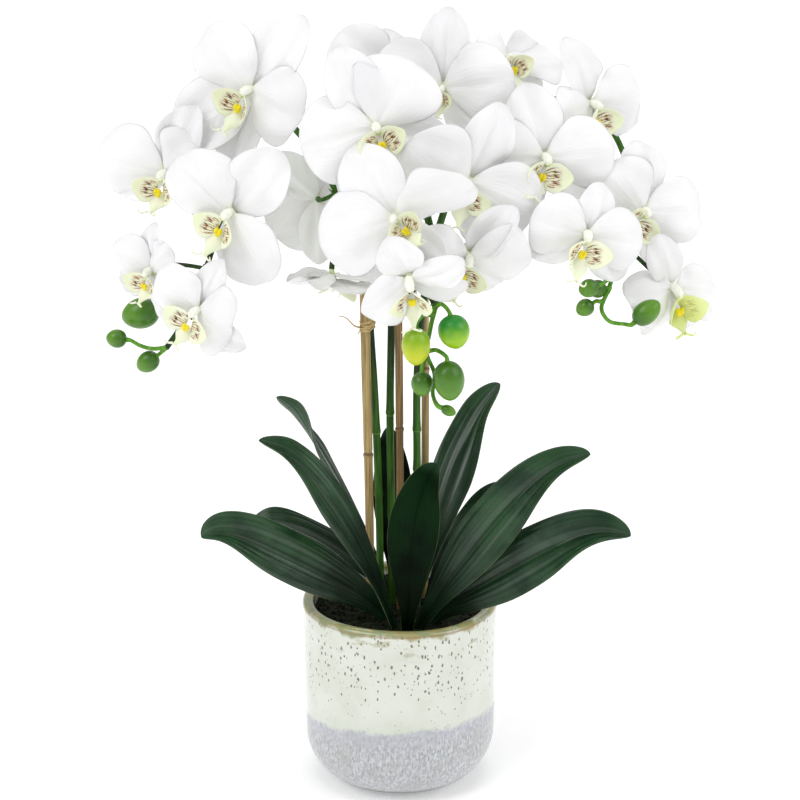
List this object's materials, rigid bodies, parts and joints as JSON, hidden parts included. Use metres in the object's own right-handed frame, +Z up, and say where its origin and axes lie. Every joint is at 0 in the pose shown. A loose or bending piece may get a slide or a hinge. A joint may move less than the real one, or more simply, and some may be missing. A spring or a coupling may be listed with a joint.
{
  "type": "potted orchid",
  "caption": "White moth orchid in a speckled cream glazed pot, its arching flower spikes held up by bamboo canes above dark strap leaves.",
  "frame": {"origin": "centre of the pot's flat underside", "axes": "+Z up from the surface it stands on; the flowers look towards -Y; +X to the right of someone facing the flowers"},
  "size_m": [0.4129, 0.2074, 0.5528],
  "materials": {
    "glaze": "gloss",
    "soil": "matte",
    "leaf": "satin",
    "stem": "satin",
    "bamboo": "matte",
    "raffia": "matte",
    "petal": "matte",
    "bud": "satin"
  },
  "bodies": {
    "root": {"pot": "glaze", "soil": "soil", "raffia_tie": "raffia", "leaf_01": "leaf", "leaf_02": "leaf", "leaf_03": "leaf", "leaf_04": "leaf", "leaf_05": "leaf", "leaf_06": "leaf", "leaf_07": "leaf", "leaf_08": "leaf", "leaf_09": "leaf", "leaf_10": "leaf", "bamboo_cane_left": "bamboo", "flower_spike_left": "stem", "bamboo_cane_centre": "bamboo", "flower_spike_centre": "stem", "bamboo_cane_right": "bamboo", "flower_spike_right": "stem", "flower_01": "petal", "flower_02": "petal", "flower_03": "petal", "flower_04": "petal", "flower_05": "petal", "flower_06": "petal", "flower_07": "petal", "flower_08": "petal", "flower_09": "petal", "flower_10": "petal", "flower_11": "petal", "flower_12": "petal", "flower_13": "petal", "flower_14": "petal", "flower_15": "petal", "flower_16": "petal", "flower_17": "petal", "flower_18": "petal", "flower_19": "petal", "flower_20": "petal", "bud_01": "bud", "bud_02": "bud", "bud_03": "bud", "bud_04": "bud", "bud_05": "bud", "bud_06": "bud", "bud_07": "bud", "bud_08": "bud", "bud_09": "bud", "bud_10": "bud", "bud_11": "bud", "bud_12": "bud"}
  },
  "joints": []
}
